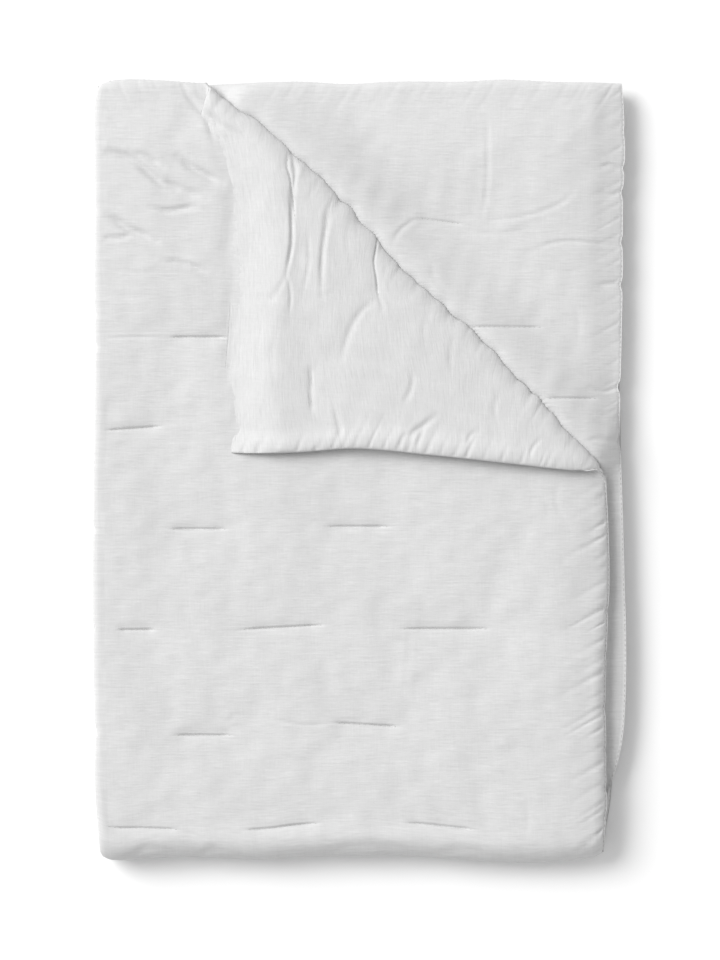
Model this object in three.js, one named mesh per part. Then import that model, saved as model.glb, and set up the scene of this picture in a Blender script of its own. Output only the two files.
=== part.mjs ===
// A lightly padded throw blanket: folded in half lengthwise, then in half again, with the top
// layer's corner turned back. Millimetres, +Z up, and the stack rests on z = 0.
//
// The flat throw has three coordinates. across is 0 on the lengthwise fold, above 0 on the outer
// half and below 0 on the inner half. along is 0 on the crosswise fold, above 0 on the upper half
// and below 0 on the lower half. lift is 0 in the middle of the filling, above 0 towards the front.
import * as THREE from 'three';

// Driving dimensions
const layer = 13; // filled cloth, between the tacks
const gap = 2; // air between folded layers
const lipThickness = 2; // both panels sewn together at the edge
const lipWidth = 4;
const shoulder = 16; // from the sewn lip up to full thickness
const lipDrop = 2; // how far the lip hangs below the middle of its layer
const tackDepth = 3.5; // how far a row of stitches draws each face in
const tackReach = 10; // half width of the hollow round a tack
const tackFade = 12; // and how far it runs on past the last stitch
const foldRoom = 1.5; // the filling is crushed this much inside a fold
const foldReach = 40; // and eases out over this distance
const crosswiseTurn = 30; // cloth on each side of the crosswise fold that lies on its bend
const crosswiseCrease = -461; // y of that bend's axis
const cornerBend = 9; // mean radius of the turned corner's roll
const cornerReach = 70; // behind the roll, the flap comes down to lie on its layer
const cornerShrink = 0.885; // gathers shorten the flap square to the roll
const cornerSkew = 0.067; // and pull it along the roll
const edgeDroop = 0.13; // share of its height that the stack loses at its open edges
const droopReach = 95;
const sag = 0.12; // share by which the lowest layer is thinner, and the highest thicker
const swell = 0.008; // share by which the top is uneven
const openSide = 334; // x of the open edges, and y of the open ends
const openEnd = 492;

// Worked out from them
const bend = (layer + gap) / 2;
const quarterTurn = bend * Math.PI / 2;
const pairHeight = 2 * layer + gap;
const stackHeight = 2 * pairHeight + gap;
const outerBend = gap / 2 + pairHeight;
const halfLength = openEnd - crosswiseCrease + crosswiseTurn;
const cornerTurn = cornerBend * Math.PI;

// The roll of the turned corner, from its upper left end to its lower right end
const rollStart = new THREE.Vector2(-188, 476);
const rollEnd = new THREE.Vector2(307, 2.5);
const rollLength = rollStart.distanceTo(rollEnd);
const rollAlong = rollEnd.clone().sub(rollStart).normalize();
const rollBeyond = new THREE.Vector2(-rollAlong.y, rollAlong.x);

// How far the roll's outer edge bows past the straight line between its ends
const rollBow = [
  { part: 0, bow: 0 },
  { part: 0.13, bow: 12 },
  { part: 0.3, bow: 11.5 },
  { part: 0.45, bow: 6.5 },
  { part: 0.6, bow: 4.5 },
  { part: 0.8, bow: 6 },
  { part: 1, bow: 0 },
];

// Sections across the stack: x of the lengthwise fold, and of the sewn edges at the right of the
// outer and the inner half
const sections = [
  { along: -980, fold: -333, outer: 325, inner: 328 },
  { along: -700, fold: -335, outer: 322, inner: 326 },
  { along: -500, fold: -336, outer: 326, inner: 330 },
  { along: -300, fold: -335, outer: 323, inner: 327 },
  { along: -130, fold: -335, outer: 320, inner: 318 },
  { along: -74, fold: -333, outer: 318, inner: 306 },
  { along: 0, fold: -330, outer: 308, inner: 303 },
  { along: 74, fold: -335, outer: 311, inner: 311 },
  { along: 110, fold: -336, outer: 310, inner: 322 },
  { along: 150, fold: -335.5, outer: 310, inner: 331 },
  { along: 200, fold: -336.5, outer: 309, inner: 335 },
  { along: 276, fold: -338, outer: 311, inner: 336 },
  { along: 351, fold: -338.5, outer: 314, inner: 334 },
  { along: 427, fold: -338, outer: 312.5, inner: 332 },
  { along: 490, fold: -337.5, outer: 309, inner: 330 },
  { along: 552, fold: -336, outer: 305, inner: 328 },
  { along: 631, fold: -335.5, outer: 300, inner: 329.5 },
  { along: 735, fold: -336, outer: 298, inner: 331.5 },
  { along: 835, fold: -335.5, outer: 301, inner: 332 },
  { along: 894, fold: -336, outer: 309, inner: 334.5 },
  { along: 950, fold: -336, outer: 311.5, inner: 333 },
  { along: 983, fold: -332.5, outer: 312, inner: 331 },
];

// Sections down the stack: y of the crosswise fold, and of the sewn edges at the top of the
// outer, inner and both lower layers
const strips = [
  { x: -336, fold: -484, outer: 484, inner: 483, lower: 480 },
  { x: -314, fold: -492.5, outer: 492.5, inner: 490, lower: 487 },
  { x: -273, fold: -490, outer: 494, inner: 491, lower: 489 },
  { x: -213, fold: -487.5, outer: 490, inner: 489, lower: 486 },
  { x: -188, fold: -489, outer: 488, inner: 488.5, lower: 485 },
  { x: -121, fold: -491, outer: 484, inner: 491.5, lower: 486 },
  { x: -79, fold: -488, outer: 475, inner: 492.5, lower: 488 },
  { x: -17, fold: -486.5, outer: 473, inner: 489.5, lower: 487 },
  { x: 46, fold: -486, outer: 477, inner: 492.5, lower: 485 },
  { x: 129, fold: -491.5, outer: 482, inner: 492.5, lower: 487 },
  { x: 180, fold: -495, outer: 485, inner: 495, lower: 490 },
  { x: 250, fold: -494, outer: 489, inner: 492, lower: 488 },
  { x: 291, fold: -490, outer: 490.5, inner: 491.5, lower: 486 },
  { x: 334, fold: -480, outer: 491, inner: 490, lower: 484 },
];

// Tacks that show: on the outer layer of the upper half, then on the turned corner, then on the
// layer under it. x and y are the middle of the tack in the flat stack, and tilt is how far its
// right end lies above its left end.
const tacks = [
  { half: 1, x: -204, y: 169, length: 73, tilt: 0 },
  { half: 1, x: -286, y: 54, length: 70, tilt: 5 },
  { half: 1, x: -204, y: -73, length: 73, tilt: 0 },
  { half: 1, x: -3, y: -70, length: 79, tilt: 0 },
  { half: 1, x: -283, y: -200, length: 48, tilt: 0 },
  { half: 1, x: -99, y: -197, length: 107, tilt: 6 },
  { half: 1, x: 106, y: -199, length: 113, tilt: 0 },
  { half: 1, x: -198, y: -333, length: 72, tilt: 0 },
  { half: 1, x: 8, y: -320, length: 82, tilt: -5 },
  { half: 1, x: -275, y: -450, length: 90, tilt: -8 },
  { half: 1, x: -99, y: -449, length: 95, tilt: 5 },
  { half: 1, x: 100, y: -448, length: 88, tilt: -3 },
  { half: 1, x: -30, y: 408, length: 90, tilt: 0 },
  { half: 1, x: 50, y: 291, length: 80, tilt: 0 },
  { half: 1, x: 190, y: 402, length: 75, tilt: 0 },
  { half: -1, x: 100, y: 316, length: 57, tilt: -7 },
  { half: -1, x: 184, y: 182, length: 95, tilt: 0 },
  { half: -1, x: 267, y: 92, length: 69, tilt: 0 },
];

// Rows of tacks on the upper half, and the bare mesh spacing between and beyond them
const tackRows = [162, 292, 417, 542, 659, 782, 905];
const rowAtFold = 40;
const rowFlank = 12;
const columnPitch = 40;
const lastColumn = 585;
const lowerPitch = 92;
const lastLowerRow = -930;
const foldSteps = 6;
const cornerSteps = 5;
const snap = 3; // mesh points nearer than this to a cut are taken to lie on it

const smooth = (t) => {
  const c = THREE.MathUtils.clamp(t, 0, 1);
  return c * c * (3 - 2 * c);
};

// A smooth curve through one column of a table
function read(table, key, at, column) {
  const last = table.length - 2;
  const next = table.findIndex((row) => row[key] > at);
  const i = next < 0 ? last : THREE.MathUtils.clamp(next - 1, 0, last);
  const [from, to] = [table[i], table[i + 1]];
  const before = table[i - 1] ?? from;
  const after = table[i + 2] ?? to;
  const span = to[key] - from[key];
  const t = THREE.MathUtils.clamp((at - from[key]) / span, 0, 1);
  const slopeFrom = span * (to[column] - before[column]) / (to[key] - before[key]);
  const slopeTo = span * (after[column] - from[column]) / (after[key] - from[key]);
  const cubic = slopeFrom + slopeTo - 2 * (to[column] - from[column]);
  const square = 3 * (to[column] - from[column]) - 2 * slopeFrom - slopeTo;
  return from[column] + t * (slopeFrom + t * (square + t * cubic));
}

const lengthwiseAxis = (along) => read(sections, 'along', along, 'fold') + layer + gap / 2;

// Where the sewn edges lie, as across and along of the flat throw
function edgeAcross(side, along) {
  const x = read(sections, 'along', along, side > 0 ? 'outer' : 'inner');
  return x - lengthwiseAxis(along) + quarterTurn;
}

function edgeAlong(side, end, x) {
  const column = end < 0 ? 'lower' : side > 0 ? 'outer' : 'inner';
  return read(strips, 'x', x, column) - crosswiseCrease + crosswiseTurn;
}

const flatX = (across, along) => lengthwiseAxis(along) + Math.abs(across) - quarterTurn;
const flatY = (along) => crosswiseCrease + Math.abs(along) - crosswiseTurn;

// From 0 on the sewn lip to 1 at full thickness, as a quarter of an ellipse
function roundOver(distance) {
  const t = THREE.MathUtils.clamp((distance - lipWidth) / shoulder, 0, 1);
  return Math.sqrt(1 - (1 - t) ** 2);
}

function fullness(across, along) {
  const side = Math.sign(across) || 1;
  const end = Math.sign(along) || 1;
  const sideways = edgeAcross(side, along) - Math.abs(across);
  const lengthways = edgeAlong(side, end, flatX(across, along)) - Math.abs(along);
  return roundOver(sideways) * roundOver(lengthways);
}

// Depth of the hollow that the tacks draw into each face
function hollow(across, along) {
  if (along < 0) {
    return 0;
  }
  const x = flatX(across, along);
  const y = flatY(along);
  let depth = 0;
  for (const tack of tacks) {
    if (tack.half * across > 0) {
      const beyond = Math.max(Math.abs(x - tack.x) - tack.length / 2, 0);
      const off = y - tack.y - tack.tilt * (x - tack.x) / tack.length;
      depth = Math.max(depth, tackDepth * Math.exp(-((off / tackReach) ** 2) - (beyond / tackFade) ** 2));
    }
  }
  return depth;
}

// The bend's radius, opened a little inside the fold, where the filling is crushed
function openedRadius(radius, depth, distance) {
  const near = 1 - smooth((distance - depth) / foldReach);
  return radius + foldRoom * near * (1 - (radius - gap / 2) / depth);
}

// Lengthwise fold: gives x, and the height within the pair of layers
function foldLengthwise(across, along, lift) {
  const radius = openedRadius(bend + lift, layer, Math.abs(across));
  const turn = THREE.MathUtils.clamp(across / bend, -Math.PI / 2, Math.PI / 2);
  const flat = Math.max(Math.abs(across) - quarterTurn, 0);
  const x = lengthwiseAxis(along) + flat - radius * Math.cos(turn);
  return { x, height: pairHeight / 2 + radius * Math.sin(turn) };
}

// Crosswise fold of the pair of layers
function foldCrosswise(x, along, height) {
  const radius = openedRadius(gap / 2 + height, pairHeight, Math.abs(along));
  const turn = THREE.MathUtils.clamp(along / crosswiseTurn, -1, 1) * Math.PI / 2;
  const flat = Math.max(Math.abs(along) - crosswiseTurn, 0);
  const uneven = read(strips, 'x', x, 'fold') + outerBend - crosswiseCrease;
  const axis = crosswiseCrease + uneven * (1 - smooth(flat / 100));
  const y = axis + flat - radius * Math.cos(turn);
  return new THREE.Vector3(x, y, stackHeight / 2 + radius * Math.sin(turn));
}

// How far a flat place lies past the line where the roll begins to lift
function pastRoll(x, y) {
  const from = new THREE.Vector2(x, y).sub(rollStart);
  const part = from.dot(rollAlong) / rollLength;
  return from.dot(rollBeyond) - read(rollBow, 'part', part, 'bow') + cornerBend + layer / 2;
}

// The same for a place in the flat throw: only its top layer reaches the roll
function rollDepth({ across, along }) {
  if (across < quarterTurn || along < crosswiseTurn) {
    return -rollLength;
  }
  return pastRoll(flatX(across, along), flatY(along));
}

// Turns the top layer's corner up and back over itself
function turnCorner(point, past) {
  if (past <= 0) {
    return point;
  }
  const middle = stackHeight - layer / 2;
  const lift = point.z - middle;
  const turn = Math.min(past / cornerBend, Math.PI);
  const back = Math.max(past - cornerTurn, 0);
  const settle = (2 * cornerBend - layer - gap) * smooth(back / cornerReach);
  const out = (cornerBend - lift) * Math.sin(turn) - back * cornerShrink - past;
  return new THREE.Vector3(
    point.x + out * rollBeyond.x - cornerSkew * back * rollAlong.x,
    point.y + out * rollBeyond.y - cornerSkew * back * rollAlong.y,
    middle + cornerBend - (cornerBend - lift) * Math.cos(turn) - settle,
  );
}

// The stack settles: its lower layers are pressed thinner, its open edges droop, and its top is
// a little uneven. What rests at z = 0 stays there.
function settleStack(point) {
  const share = point.z / stackHeight;
  const open = Math.min(openSide - point.x, openEnd - point.y);
  const droop = edgeDroop * (1 - smooth(open / droopReach));
  const wave = Math.sin(point.x / 71 + 1.3) * Math.cos(point.y / 88) + Math.sin((point.x + point.y) / 113);
  const press = 1 - sag + sag * Math.min(share, 1);
  return point.setZ(point.z * press * (1 - droop + swell * wave));
}

// A point of the folded throw; face is 1 on the front and -1 on the back
function foldedPoint({ across, along }, face) {
  const full = fullness(across, along);
  const underside = face > 0 && across > 0 && along < 0;
  const half = (lipThickness + (layer - lipThickness) * full) / 2;
  const past = rollDepth({ across, along });
  const turned = Math.cos(THREE.MathUtils.clamp(past / cornerBend, 0, Math.PI));
  const drop = -Math.sign(across) * Math.sign(along) * turned * lipDrop * (1 - full);
  const lift = drop + face * (half - (underside ? 0 : hollow(across, along)));
  const { x, height } = foldLengthwise(across, along, lift);
  return settleStack(turnCorner(foldCrosswise(x, along, height), past));
}

// Mesh lines between two sewn edges. A line has a place, or lies at a distance from an edge.
const edgeLines = [0, lipWidth, lipWidth + shoulder * 0.25, lipWidth + shoulder];

function evenly(from, to, pitch) {
  const count = Math.ceil(Math.abs(to - from) / pitch);
  return Array.from({ length: count + 1 }, (_, i) => from + (to - from) * i / count);
}

function columnLines() {
  const turn = evenly(-quarterTurn, quarterTurn, 2 * quarterTurn / foldSteps * 1.001);
  const flat = evenly(quarterTurn, lastColumn, columnPitch).slice(1);
  return [
    ...edgeLines.map((inside) => ({ side: -1, inside })),
    ...flat.map((place) => ({ place: -place })).reverse(),
    ...turn.map((place) => ({ place })),
    ...flat.map((place) => ({ place })),
    ...edgeLines.map((inside) => ({ side: 1, inside })).reverse(),
  ];
}

function rowLines() {
  const turn = evenly(-crosswiseTurn, crosswiseTurn, 2 * crosswiseTurn / foldSteps * 1.001);
  const upper = [rowAtFold, rowAtFold + rowFlank];
  for (const row of tackRows) {
    upper.push((upper.at(-1) + row - rowFlank) / 2, row - rowFlank, row, row + rowFlank);
  }
  return [
    ...edgeLines.map((inside) => ({ side: -1, inside })),
    ...evenly(-crosswiseTurn, lastLowerRow, lowerPitch).slice(1).reverse().map((place) => ({ place })),
    ...turn.map((place) => ({ place })),
    ...upper.map((place) => ({ place })),
    ...edgeLines.map((inside) => ({ side: 1, inside })).reverse(),
  ];
}

// The flat throw as points and four-sided cells
function flatMesh() {
  const columns = columnLines();
  const rows = rowLines();
  const nodes = [];
  for (const row of rows) {
    const nominal = row.place ?? row.side * halfLength;
    for (const column of columns) {
      const across = column.place ?? column.side * (edgeAcross(column.side, nominal) - column.inside);
      const side = Math.sign(across) || 1;
      const reach = edgeAlong(side, row.side, flatX(across, nominal));
      nodes.push({ across, along: row.place ?? row.side * (reach - row.inside) });
    }
  }
  const cells = [];
  for (let j = 0; j + 1 < rows.length; j++) {
    for (let i = 0; i + 1 < columns.length; i++) {
      const at = j * columns.length + i;
      cells.push([at, at + 1, at + columns.length + 1, at + columns.length]);
    }
  }
  return { nodes, cells };
}

// Cuts every cell that one line of equal depth past the roll crosses
function cutCells({ nodes, cells }, depth) {
  const offsets = nodes.map((node) => {
    const offset = rollDepth(node) - depth;
    return Math.abs(offset) < snap ? 0 : offset;
  });
  const made = new Map();
  const crossing = (a, b) => {
    const key = a < b ? `${a} ${b}` : `${b} ${a}`;
    if (!made.has(key)) {
      const t = offsets[a] / (offsets[a] - offsets[b]);
      const mix = (name) => nodes[a][name] + t * (nodes[b][name] - nodes[a][name]);
      made.set(key, nodes.push({ across: mix('across'), along: mix('along') }) - 1);
    }
    return made.get(key);
  };
  const result = [];
  for (const cell of cells) {
    const signs = cell.map((node) => Math.sign(offsets[node]));
    if (!signs.includes(1) || !signs.includes(-1)) {
      result.push(cell);
      continue;
    }
    const parts = { '1': [], '-1': [] };
    cell.forEach((node, i) => {
      const next = (i + 1) % cell.length;
      for (const side of [1, -1]) {
        if (signs[i] !== -side) {
          parts[side].push(node);
        }
        if (signs[i] * signs[next] < 0) {
          parts[side].push(crossing(node, cell[next]));
        }
      }
    });
    result.push(parts[1], parts[-1]);
  }
  return { nodes, cells: result };
}

// Splits a cell at its shortest diagonal until only triangles are left
function triangles(cell, nodes) {
  if (cell.length === 3) {
    return [cell];
  }
  let best = null;
  for (let i = 0; i < cell.length; i++) {
    for (let j = i + 2; j < cell.length - (i === 0 ? 1 : 0); j++) {
      const [a, b] = [nodes[cell[i]], nodes[cell[j]]];
      const length = Math.hypot(a.across - b.across, a.along - b.along);
      if (!best || length < best.length) {
        best = { i, j, length };
      }
    }
  }
  const first = cell.slice(best.i, best.j + 1);
  const second = [...cell.slice(best.j), ...cell.slice(0, best.i + 1)];
  return [...triangles(first, nodes), ...triangles(second, nodes)];
}

// Both faces over the same flat mesh, joined by a strip round the sewn edge
function throwGeometry() {
  let mesh = flatMesh();
  for (let step = 0; step <= cornerSteps; step++) {
    mesh = cutCells(mesh, cornerTurn * step / cornerSteps);
  }
  const front = mesh.cells.flatMap((cell) => triangles(cell, mesh.nodes));
  const count = mesh.nodes.length;
  const edges = new Set(front.flatMap(([a, b, c]) => [`${a} ${b}`, `${b} ${c}`, `${c} ${a}`]));
  const index = [];
  for (const [a, b, c] of front) {
    index.push(a, b, c, c + count, b + count, a + count);
  }
  for (const edge of edges) {
    const [a, b] = edge.split(' ').map(Number);
    if (!edges.has(`${b} ${a}`)) {
      index.push(b, a, a + count, b, a + count, b + count);
    }
  }
  const points = [1, -1].flatMap((face) => mesh.nodes.map((node) => foldedPoint(node, face)));
  const geometry = new THREE.BufferGeometry().setFromPoints(points);
  geometry.setIndex(index);
  geometry.computeVertexNormals();
  geometry.computeBoundingBox();
  const centre = geometry.boundingBox.getCenter(new THREE.Vector3());
  return geometry.translate(-centre.x, -centre.y, 0);
}

const linen = new THREE.MeshStandardMaterial({ color: 0xd9dbda, roughness: 0.95, metalness: 0 });

function makeThrow() {
  const mesh = new THREE.Mesh(throwGeometry(), linen);
  mesh.name = 'throw';
  return mesh;
}

const blanket = new THREE.Group();
blanket.name = 'throw_blanket';
blanket.add(makeThrow());

export default blanket;
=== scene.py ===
import math

import bpy
import numpy as np
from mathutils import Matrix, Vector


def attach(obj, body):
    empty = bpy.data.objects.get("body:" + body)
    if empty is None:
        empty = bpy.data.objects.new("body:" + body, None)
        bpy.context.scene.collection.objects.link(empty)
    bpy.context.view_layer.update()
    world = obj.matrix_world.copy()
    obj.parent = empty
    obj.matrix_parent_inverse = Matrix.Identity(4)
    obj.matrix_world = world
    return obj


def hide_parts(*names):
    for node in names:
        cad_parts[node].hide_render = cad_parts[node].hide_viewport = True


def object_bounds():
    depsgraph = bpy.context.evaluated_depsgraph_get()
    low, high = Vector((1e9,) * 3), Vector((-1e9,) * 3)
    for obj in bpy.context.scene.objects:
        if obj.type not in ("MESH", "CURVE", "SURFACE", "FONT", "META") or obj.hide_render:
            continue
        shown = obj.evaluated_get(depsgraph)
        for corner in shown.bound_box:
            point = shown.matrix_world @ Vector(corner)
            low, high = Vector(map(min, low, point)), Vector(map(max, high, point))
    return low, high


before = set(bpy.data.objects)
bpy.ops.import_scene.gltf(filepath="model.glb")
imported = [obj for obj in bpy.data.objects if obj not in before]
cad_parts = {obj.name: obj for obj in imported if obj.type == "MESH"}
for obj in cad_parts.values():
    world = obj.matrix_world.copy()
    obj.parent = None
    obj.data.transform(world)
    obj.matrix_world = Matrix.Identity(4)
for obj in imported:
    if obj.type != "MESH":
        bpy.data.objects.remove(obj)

cadLow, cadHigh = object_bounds()
mm = 0.001

# Sizes of the throw in mm. Across is 0 on the lengthwise fold, above 0 on the outer half and below 0
# on the inner half. Along is 0 on the crosswise fold, above 0 on the upper half.
cloth = {
    "layer": 13,  # filled cloth, between the tacks
    "gap": 2,  # air between folded layers
    "lipThickness": 2,  # both panels sewn together at the edge
    "lipWidth": 2.0,
    "lipUnder": 0.45,  # share of the lip's width that lies back under its rounded edge
    "shoulder": 16,  # from the sewn lip up to full thickness
    "endShoulder": 10,  # the same at the two ends
    "lipDrop": 2,
    "tuckDrop": 4.5,  # the seam at the ends is tucked down under its rounded edge
    "tuckIn": 3.5,
    "deepest": 1.3,  # no hollow is deeper than this share of half the thickness
    "foldRoom": 1.5,  # the filling is crushed this much inside a fold
    "foldReach": 40,
    "foldSquare": 6,  # 2 is a round fold; more keeps the cloth flat until nearer the fold
    "crosswiseTurn": 30,  # cloth on each side of the crosswise fold that lies on its bend
    "crosswiseCrease": -461,  # y of that bend's axis
    "creaseReach": 100,  # over this distance from it, its unevenness fades
    "rollStart": (-188, 476),  # of the turned corner's roll
    "rollEnd": (307, 2.5),
    "lumpReach": 80,  # the lumps of the roll fade over this distance
    "cornerBend": 7.8,  # mean radius of the roll
    "rollEarly": 5,  # the roll is this much deeper from front to back than it is high
    "rollPeak": 1.5,  # 2 is a round roll; less makes its side slope more
    "rollCrush": 0.27,  # share by which its own weight presses the roll lower
    "crushReach": 50,
    "cornerReach": 70,  # behind the roll, the flap comes down to lie on its layer
    "cornerEase": 20,  # and its own edges begin over this distance
    "cornerShrink": 0.878,  # gathers shorten the flap square to the roll
    "cornerSkew": 0.067,  # and pull it along the roll
    "cornerRise": 6.5,  # how far the flap's lower edge stands off its layer
    "riseReach": 35,  # over this distance from it, and over the next one from the seam at its end
    "riseEnd": 16,
    "cornerTaper": 78,  # the flap thins gently towards the seam at its end
    "cornerPress": 0.55,  # share by which that seam is thinner
    "cornerTuck": 10.8,  # and how far it is pressed into the layer under it
    "cornerExtra": 13.5,  # cloth between the seam and where the flap comes out of that layer
    "extraReach": 40,  # which grows over this distance from the roll's start
    "extraLess": (220, 300, 0.4),  # and between these x becomes less by this share
    "cornerLip": 3.2,  # the seam along its lower edge is tucked down too
    "edgeDroop": 0.13,  # share of its height that the stack loses at its open edges
    "droopReach": 95,
    "sag": 0.12,  # share by which the lowest layer is thinner
    "swell": 0.008,  # share by which the top is uneven
    "swellLengths": (71, 88, 113),  # of its waves across, down and slanting, in mm to the radian
    "swellPhase": 1.3,
    "openSide": 334,
    "openEnd": 492,
    "halfWidth": 650,  # about the distance from the lengthwise fold to the sewn edges
}

# Part of the roll's length, and how far its outer edge bows past the straight line
rollBow = [
    (-0.03, 24), (-0.012, 13), (0.002, 6), (0.04, 9), (0.13, 17), (0.3, 17.5), (0.42, 10.5), (0.52, 7),
    (0.66, 12), (0.76, 8.5), (1, 1),
]
# Lumps along the roll: height, length, the length over which that wanders, and phase
rollLumps = [(1.5, 11, 37, 0), (0.9, 5.3, 29, 1)]

# Sections across the stack: along, x of the lengthwise fold, x of the outer and of the inner edge
sections = [
    (-980, -333, 325, 328), (-700, -335, 322, 326), (-500, -336, 326, 330), (-300, -335, 323, 327),
    (-130, -335, 320, 318), (-74, -333, 318, 306), (0, -330, 308, 303), (74, -335, 311, 311),
    (110, -336, 310, 322), (150, -335.5, 310, 331), (200, -336.5, 309, 335), (276, -338, 311, 336),
    (351, -338.5, 314, 334), (427, -338, 312.5, 332), (490, -337.5, 309, 330), (552, -336, 308, 328),
    (631, -335.5, 307, 329.5), (735, -336, 306.5, 331.5), (835, -335.5, 309, 332), (894, -336, 314.5, 334.5),
    (950, -336, 316, 333), (983, -332.5, 316, 331),
]

# Sections down the stack: x, y of the crosswise fold, y of the outer, the inner and the lower edges
strips = [
    (-336, -484, 484, 483, 480), (-314, -492.5, 492.5, 490, 487), (-273, -490, 494, 491, 489),
    (-213, -487.5, 490, 489, 486), (-188, -489, 488, 488.5, 485), (-121, -491, 484, 491.5, 486),
    (-79, -488, 475, 492.5, 488), (-17, -486.5, 473, 489.5, 487), (46, -486, 477, 492.5, 485),
    (129, -491.5, 482, 492.5, 487), (180, -495, 485, 495, 490), (250, -494, 489, 492, 488),
    (291, -490, 490.5, 491.5, 486), (334, -480, 491, 490, 484),
]

# Tacks: half, x and y of the middle, length, and how far the right end lies above the left
tacks = [
    (1, -204, 169, 73, 0), (1, -286, 54, 70, 5), (1, -204, -73, 73, 0), (1, -3, -70, 79, 0),
    (1, -283, -200, 48, 0), (1, -99, -197, 107, 6), (1, 106, -199, 113, 0), (1, -198, -333, 72, 0),
    (1, 8, -320, 82, -5), (1, -275, -450, 90, -8), (1, -99, -449, 95, 5), (1, 100, -448, 88, -3),
    (1, -40, 405, 84, -4), (1, 54, 290, 72, -7), (1, 224, 383, 70, 6),
    (-1, 100, 316, 57, -7), (-1, 184, 182, 95, 0), (-1, 267, 92, 69, 0),
]

# Small pinches in the outline: y of the middle, depth and half width
foldPinches = [(199, 1.5, 7), (157, 2.6, 6), (-73, 2.4, 5), (-200, 1.6, 6), (-328, 2.4, 7), (330, 1.4, 9)]
innerPinches = [
    (384, 2.2, 5), (353, 2.6, 6), (290, 2.2, 6), (236, 2.6, 6), (107, 3.4, 7), (38, 2.4, 6), (430, 1.2, 8),
]
outerPinches = [
    (-176, 1.6, 6), (-232, 1.2, 5), (-300, 1.6, 6), (-352, 1.4, 5), (-402, 1.8, 6), (-440, 1.4, 5),
]

bend = (cloth["layer"] + cloth["gap"]) / 2
quarterTurn = bend * math.pi / 2
pairHeight = 2 * cloth["layer"] + cloth["gap"]
stackHeight = 2 * pairHeight + cloth["gap"]
outerBend = cloth["gap"] / 2 + pairHeight
halfLength = cloth["openEnd"] - cloth["crosswiseCrease"] + cloth["crosswiseTurn"]
cornerTurn = cloth["cornerBend"] * math.pi
rollStart = np.array(cloth["rollStart"])
rollSpan = np.array(cloth["rollEnd"]) - rollStart
rollLength = np.hypot(*rollSpan)
rollAlong = rollSpan / rollLength
rollBeyond = np.array((-rollAlong[1], rollAlong[0]))


def smooth(t):
    # 3 t squared less 2 t cubed, held at 0 and at 1
    t = np.clip(t, 0, 1)
    return t * t * (3 - 2 * t)


def between(value, limits):
    # a smooth step from 0 at the first limit to 1 at the second
    return smooth((value - limits[0]) / (limits[1] - limits[0]))


def bell(distance, width):
    # exp(-(distance / width) squared): 1 in the middle, and 0.37 one width away
    return np.exp(-((distance / width) ** 2))


def readTable(table, at, column):
    # a cubic between two rows, whose slopes are those between the rows on either side of each
    rows = np.array(table, float)
    keys, values = rows[:, 0], rows[:, column]
    i = np.clip(np.searchsorted(keys, at, side="right") - 1, 0, len(keys) - 2)
    before, after = np.maximum(i - 1, 0), np.minimum(i + 2, len(keys) - 1)
    span = keys[i + 1] - keys[i]
    rise = values[i + 1] - values[i]
    t = np.clip((at - keys[i]) / span, 0, 1)
    slopeFrom = span * (values[i + 1] - values[before]) / (keys[i + 1] - keys[before])
    slopeTo = span * (values[after] - values[i]) / (keys[after] - keys[i])
    cubic, square = slopeFrom + slopeTo - 2 * rise, 3 * rise - 2 * slopeFrom - slopeTo
    return values[i] + t * (slopeFrom + t * (square + t * cubic))


def lengthwiseAxis(along):
    # x of the lengthwise fold's axis: a layer and half a gap inside the fold's outline
    return readTable(sections, along, 1) + cloth["layer"] + cloth["gap"] / 2


def pinchesAt(table, y, along):
    # a bell for each pinch; only the upper half has them
    total = sum(depth * bell(y - place, width) for place, depth, width in table)
    return total * (along > 0)


def acrossAt(x, along):
    # distance over the cloth from the lengthwise fold to x
    return x - lengthwiseAxis(along) + quarterTurn


def alongAt(y):
    # distance over the cloth from the crosswise fold to y
    return y - cloth["crosswiseCrease"] + cloth["crosswiseTurn"]


def edgeAcross(side, along):
    # distance over the cloth from the lengthwise fold to the sewn edge of one half
    y = flatY(along)
    outer = readTable(sections, along, 2) - pinchesAt(outerPinches, y, along)
    inner = readTable(sections, along, 3) - pinchesAt(innerPinches, y, along)
    return acrossAt(np.where(side > 0, outer, inner), along)


def edgeAlong(side, end, x):
    # distance over the cloth from the crosswise fold to the sewn edge at either end
    lessFrom, lessTo, less = cloth["extraLess"]
    extra = smooth((x - rollStart[0]) / cloth["extraReach"])
    extra = extra * (1 - less * between(x, (lessFrom, lessTo)))
    outer = readTable(strips, x, 2) + cloth["cornerExtra"] * extra
    upper = np.where(side > 0, outer, readTable(strips, x, 3))
    return alongAt(np.where(end > 0, upper, readTable(strips, x, 4)))


def flatX(across, along):
    # x in the flat stack: the axis and the distance over the cloth, less the quarter turn
    return lengthwiseAxis(along) + np.abs(across) - quarterTurn


def flatY(along):
    # y in the flat stack: the same for the crosswise fold
    return cloth["crosswiseCrease"] + np.abs(along) - cloth["crosswiseTurn"]


def signOf(values):
    # -1 below 0, and otherwise 1
    return np.where(values < 0, -1, 1)


def insideEdges(across, along):
    # distance inside the sewn edge at the side, and inside the one at the end
    side, end = signOf(across), signOf(along)
    sideways = edgeAcross(side, along) - np.abs(across)
    lengthways = edgeAlong(side, end, flatX(across, along)) - np.abs(along)
    return sideways, lengthways


def roundOver(distance, reach=cloth["shoulder"]):
    # a quarter of an ellipse, from 0 on the sewn lip to 1 at full thickness
    t = np.clip((distance - cloth["lipWidth"]) / reach, 0, 1)
    return np.sqrt(1 - (1 - t) ** 2)


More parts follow.
